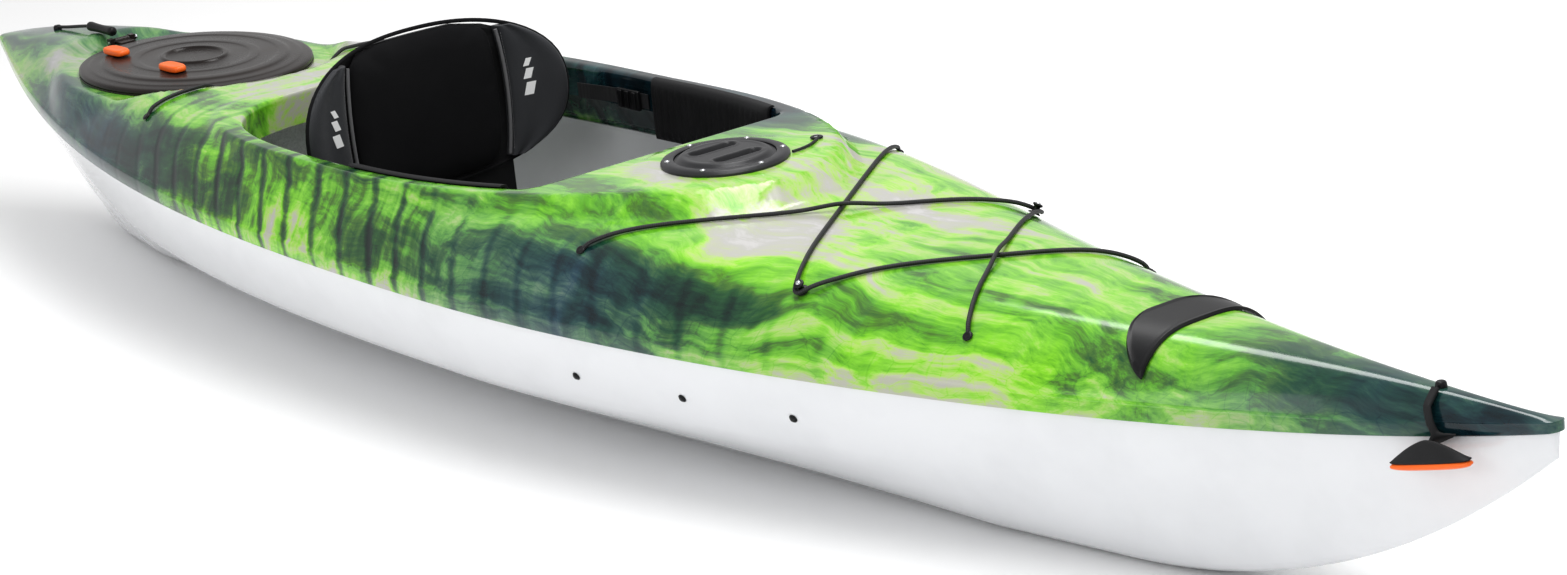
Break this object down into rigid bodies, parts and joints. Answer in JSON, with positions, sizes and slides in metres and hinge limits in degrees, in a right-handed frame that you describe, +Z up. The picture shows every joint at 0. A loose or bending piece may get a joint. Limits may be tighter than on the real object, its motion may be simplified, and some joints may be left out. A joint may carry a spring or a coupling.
{
  "type": "kayak",
  "caption": "Sit-inside recreational kayak with marbled deck, white hull, padded seat, foot braces, deck rigging, hatches and carry handles.",
  "frame": {"origin": "on the plane that the keel rests on, midway between the tips and on the centreline", "axes": "+X to the bow, +Y to port, +Z up"},
  "size_m": [3.66, 0.712, 0.4701],
  "materials": {
    "hull_abs_white": "gloss thermoformed sheet, white",
    "deck_abs_marbled": "gloss thermoformed sheet, marbled green, teal and white",
    "flotation_foam": "closed-cell foam, pale grey",
    "black_moulded": "satin moulded nylon, black",
    "hatch_black_brown": "satin moulded plastic, black-brown",
    "orange_moulded": "satin moulded plastic, orange",
    "grey_moulded": "textured moulded plastic, dark grey",
    "rubber_black": "matt rubber and EVA foam, black",
    "seat_fabric": "woven polyester over foam, black",
    "wing_fabric_grey": "coated fabric over foam, grey",
    "webbing_black": "woven nylon webbing, black",
    "cord_black": "braided elastic cord, black",
    "stainless_steel": "stainless steel"
  },
  "bodies": {
    "boat": {"hull_shell": "hull_abs_white", "deck_shell": "deck_abs_marbled", "bow_flotation_block": "flotation_foam", "stern_bulkhead": "flotation_foam", "seat_pan": "grey_moulded", "seat_cushion": "seat_fabric", "foot_rail_port": "black_moulded", "foot_rail_starboard": "black_moulded", "strap_buckle_port": "black_moulded", "strap_buckle_starboard": "black_moulded", "bungee_hook_port": "black_moulded", "bungee_hook_starboard": "black_moulded", "bungee_grommet_aft_port": "black_moulded", "bungee_grommet_aft_starboard": "black_moulded", "bungee_grommet_fore_port": "black_moulded", "bungee_grommet_fore_starboard": "black_moulded", "stern_bungee_eye_port": "black_moulded", "stern_bungee_eye_starboard": "black_moulded", "bow_handle_anchor": "black_moulded", "stern_handle_anchor": "black_moulded", "bow_badge_plate": "black_moulded", "backrest_pin_port": "stainless_steel", "backrest_pin_starboard": "stainless_steel", "console_tether_screw": "stainless_steel", "stern_hatch_hinge_pin": "stainless_steel", "foot_rail_screw_port_1": "stainless_steel", "foot_rail_screw_port_2": "stainless_steel", "foot_rail_screw_port_3": "stainless_steel", "foot_rail_screw_starboard_1": "stainless_steel", "foot_rail_screw_starboard_2": "stainless_steel", "foot_rail_screw_starboard_3": "stainless_steel", "backrest_strap_port": "webbing_black", "backrest_strap_starboard": "webbing_black", "thigh_pad_port": "rubber_black", "thigh_pad_starboard": "rubber_black", "console_hatch_seal": "rubber_black", "stern_hatch_seal": "rubber_black", "console_hatch_ring": "hatch_black_brown", "stern_hatch_rim": "hatch_black_brown", "stern_hatch_hinge": "hatch_black_brown", "bow_bungee_over": "cord_black", "bow_bungee_under": "cord_black", "stern_bungee": "cord_black", "console_hatch_tether": "cord_black"},
    "backrest": {"backrest_board": "black_moulded", "backrest_pad": "seat_fabric", "backrest_wing_port": "wing_fabric_grey", "backrest_wing_starboard": "wing_fabric_grey"},
    "pedal_port": {"foot_pedal_port": "black_moulded"},
    "pedal_starboard": {"foot_pedal_starboard": "black_moulded"},
    "console_lid": {"console_hatch_lid": "hatch_black_brown"},
    "stern_lid": {"stern_hatch_lid": "hatch_black_brown"},
    "latch_aft": {"hatch_latch_aft": "orange_moulded"},
    "latch_fore": {"hatch_latch_fore": "orange_moulded"},
    "bow_handle": {"bow_handle_strap": "webbing_black", "bow_handle_grip": "orange_moulded"},
    "stern_handle": {"stern_handle_cord": "cord_black", "stern_handle_toggle": "black_moulded"},
    "drain": {"drain_plug": "black_moulded"}
  },
  "joints": [
    {"name": "backrest_recline", "type": "hinge", "parent": "boat", "child": "backrest", "pos_m": [-0.46, 0, 0.132], "axis": [0, -1, 0], "range_deg": [-5, 20]},
    {"name": "pedal_port_slide", "type": "slide", "parent": "boat", "child": "pedal_port", "axis": [0.986, -0.1668, 0], "range_m": [-0.1, 0.1]},
    {"name": "pedal_starboard_slide", "type": "slide", "parent": "boat", "child": "pedal_starboard", "axis": [0.986, 0.1668, 0], "range_m": [-0.1, 0.1]},
    {"name": "console_lid_turn", "type": "hinge", "parent": "boat", "child": "console_lid", "pos_m": [0.325, 0, 0.381], "axis": [0, 0, 1], "range_deg": [0, 90]},
    {"name": "stern_lid_hinge", "type": "hinge", "parent": "boat", "child": "stern_lid", "pos_m": [-1.389, 0, 0.3359], "axis": [0, -1, 0], "range_deg": [0, 110]},
    {"name": "latch_aft_turn", "type": "hinge", "parent": "stern_lid", "child": "latch_aft", "pos_m": [-1.28, -0.07, 0.3418], "axis": [0, 0, 1], "range_deg": [0, 90]},
    {"name": "latch_fore_turn", "type": "hinge", "parent": "stern_lid", "child": "latch_fore", "pos_m": [-1.08, -0.077, 0.3418], "axis": [0, 0, 1], "range_deg": [0, 90]},
    {"name": "bow_handle_swing", "type": "hinge", "parent": "boat", "child": "bow_handle", "pos_m": [1.652, 0, 0.31237], "axis": [-1, 0, 0], "range_deg": [0, 100]},
    {"name": "stern_handle_swing", "type": "hinge", "parent": "boat", "child": "stern_handle", "pos_m": [-1.62, 0, 0.32684], "axis": [0, -1, 0], "range_deg": [0, 140]},
    {"name": "drain_plug_turn", "type": "hinge", "parent": "boat", "child": "drain", "pos_m": [-1.47, 0.12338, 0.2], "axis": [-0.3101, 0.8515, -0.4228], "range_deg": [0, 90]}
  ]
}
